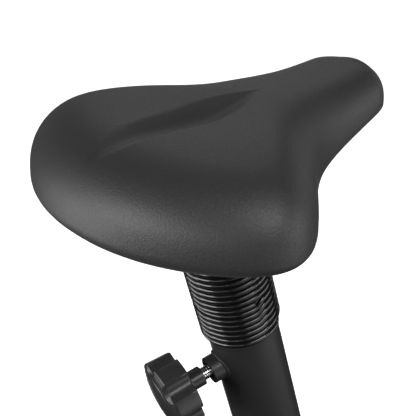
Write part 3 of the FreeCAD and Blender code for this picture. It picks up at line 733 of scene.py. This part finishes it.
def hub():
    """The knob's neck, which widens where it joins the grip."""
    bore = STUD_RADIUS + 0.1
    foot = HUB_RADIUS + FLARE_OUT
    profile = [(bore, HUB_START + HUB_BORE), (bore, HUB_START), (HUB_RADIUS, HUB_START),
               (HUB_RADIUS, GRIP_START - FLARE_RISE), (foot, GRIP_START), (foot, GRIP_START + FLARE_SUNK)]
    piece = lathe("hub_body", rounded(profile, [0, 0.2, 0.7, 1.6, 0, 0]), *ON_KNOB)
    finish(piece, "knob_plastic", "knob", "knob_hub")


def star_radius(angle, rim):
    """The star's outline: a circle with round scallops, its corners softened."""
    spacing = 2 * math.pi / LOBES
    from_scallop = (angle - math.radians(STAR_TURN) + spacing / 2) % spacing - spacing / 2
    across = SCALLOP_CENTRE * np.abs(np.sin(from_scallop))
    inside = np.maximum(SCALLOP_RADIUS ** 2 - across ** 2, 0)
    bite = SCALLOP_CENTRE * np.cos(from_scallop) - np.sqrt(inside)
    beside = rim + SCALLOP_FLARE * (across / SCALLOP_RADIUS - 1) + SCALLOP_CLEAR
    bite = np.where(across < SCALLOP_RADIUS, bite, beside)
    mix = np.clip(0.5 + 0.5 * (bite - rim) / LOBE_ROUND, 0, 1)
    return bite * (1 - mix) + rim * mix - LOBE_ROUND * mix * (1 - mix)


def dome(radius):
    """Rise of the knob's face above its rim."""
    return GRIP_CROWN * (1 - (radius / GRIP_FRONT) ** 2)


def grip():
    """The star grip: rounded edges, a domed face and a recess for the cap."""
    count = 360
    angle = np.linspace(0, 2 * math.pi, count, endpoint=False)
    face = GRIP_START + GRIP_DEPTH
    edge = GRIP_EDGE
    rings = []

    def outline(share, h, inset=0.0):
        """The star at one distance, its size running from the back's to the front's."""
        rim = GRIP_BACK + (GRIP_FRONT - GRIP_BACK) * share
        rings.append((star_radius(angle, rim) - inset, h))

    rings.append((np.full(count, HUB_RADIUS + GRIP_BORE), GRIP_START))
    flat = star_radius(angle, GRIP_BACK) - edge
    for s in (0.3, 0.6, 0.85):
        rings.append((HUB_RADIUS + GRIP_BORE + (flat - HUB_RADIUS - GRIP_BORE) * s, GRIP_START))
    for a in np.radians([0, 18, 36, 54, 72, 90]):
        outline(0, GRIP_START + edge * 0.8 * (1 - math.cos(a)), edge * (1 - math.sin(a)))
    for s in np.linspace(0, 1, 8)[1:]:
        outline(s, GRIP_START + edge * 0.8 + (GRIP_DEPTH - edge * 1.8) * s)
    for a in np.radians([18, 36, 54, 72, 90]):
        outline(1, face - edge + edge * math.sin(a), edge * (1 - math.cos(a)))
    rim = star_radius(angle, GRIP_FRONT) - edge
    for s in (0.15, 0.3, 0.5, 0.75, 0.93):
        radius = rim + (CAP_RADIUS + 0.5 - rim) * s
        rings.append((radius, face + dome(radius) * min(1, s / 0.3)))
    top = face + dome(CAP_RADIUS)
    recess = [(CAP_RADIUS + 0.3, top), (CAP_RADIUS + 0.1, top - 0.15),
              (CAP_RADIUS + 0.1, top - RECESS_DEPTH), (0, top - RECESS_DEPTH)]
    for r, h in recess:
        rings.append((np.full(count, r), h))
    points = []
    for radius, h in rings:
        for r, z, a in zip(radius, np.broadcast_to(h, count), angle):
            points.append(on_knob(r, a, float(z)))
    piece = mesh_object("grip_star", points, ring_faces(len(rings), count), merge=1e-6, sharp=45)
    finish(piece, "knob_plastic", "knob", "knob_grip")


def cap():
    """The cap in the grip's recess, which follows its dome."""
    face = GRIP_START + GRIP_DEPTH
    top = face + dome(CAP_RADIUS)
    profile = [(CAP_RADIUS - 0.1, top - 1.4), (CAP_RADIUS - 0.1, top - 0.1)]
    for r in np.linspace(CAP_RADIUS - 0.35, 0, 10):
        profile.append((r, face + dome(r) + CAP_PROUD))
    piece = lathe("cap_disc", profile, *ON_KNOB)
    finish(piece, "knob_plastic", "knob", "knob_cap")


boss()
weld()
stud()
hub()
grip()
cap()


# ---------------------------------------------------------------- floor and light
LIGHT_DISTANCE = 1.5
BOX_SIZE = 0.9
FLOOR_REACH = 6
FLOOR_GAP = 0.001


def soft_light(name, azimuth, elevation, width, height, power):
    """A rectangular softbox that faces the object, seen only in what it lights."""
    data = bpy.data.lights.new(name, "AREA")
    data.shape = "RECTANGLE"
    data.size, data.size_y = width, height
    data.energy = power
    light = bpy.data.objects.new(name, data)
    a, e = math.radians(azimuth), math.radians(elevation)
    way = Vector((math.sin(a) * math.cos(e), -math.cos(a) * math.cos(e), math.sin(e)))
    light.location = LOOK_AT + way * LIGHT_DISTANCE
    light.rotation_euler = way.to_track_quat("Z", "Y").to_euler()
    light.visible_camera = False
    bpy.context.scene.collection.objects.link(light)


floor_level = cad_box[0][2] - FLOOR_GAP
corners = [(-FLOOR_REACH, -FLOOR_REACH), (FLOOR_REACH, -FLOOR_REACH),
           (FLOOR_REACH, FLOOR_REACH), (-FLOOR_REACH, FLOOR_REACH)]
floor = mesh_object("floor", [(x, y, floor_level) for x, y in corners], [(0, 1, 2, 3)])
floor.data.materials.append(floor_paint())
floor.visible_diffuse = False
floor.visible_glossy = False
floor.visible_transmission = False
floor.visible_volume_scatter = False
floor.visible_shadow = False

world = bpy.data.worlds.new("studio")
world.use_nodes = True
background = world.node_tree.nodes["Background"]
background.inputs["Color"].default_value = (1, 1, 1, 1)
background.inputs["Strength"].default_value = 1.0
bpy.context.scene.world = world
world.cycles_visibility.diffuse = False
world.cycles_visibility.glossy = False
world.cycles_visibility.transmission = False
world.cycles_visibility.scatter = False
bpy.context.scene.view_settings.view_transform = "Standard"

# Each softbox's name, azimuth and elevation in degrees, and power in watts.
SOFTBOXES = [
    ("left_box", -101, 10, 15.2), ("left_back", -131, 10, 1.6), ("left_low", -131, -18, 8.6),
    ("above_camera", -11, 45, 12.2), ("front_low", -11, -18, 1.3),
    ("right_low", 19, -18, 2.7), ("right_box", 49, 10, 3.8), ("right_edge", 49, -18, 1.5),
    ("far_right", 94, 15, 1.0), ("back_box", 139, 15, 0.7), ("back_high", 139, 45, 1.7),
    ("back_low", 139, -30, 3.0),
]
for name, azimuth, elevation, power in SOFTBOXES:
    soft_light(name, azimuth, elevation, BOX_SIZE, BOX_SIZE, power)
soft_light("left_strip", -66, 10, 1.3, 0.10, 2.6)
soft_light("right_strip", 24, 10, 0.8, 0.10, 2.6)
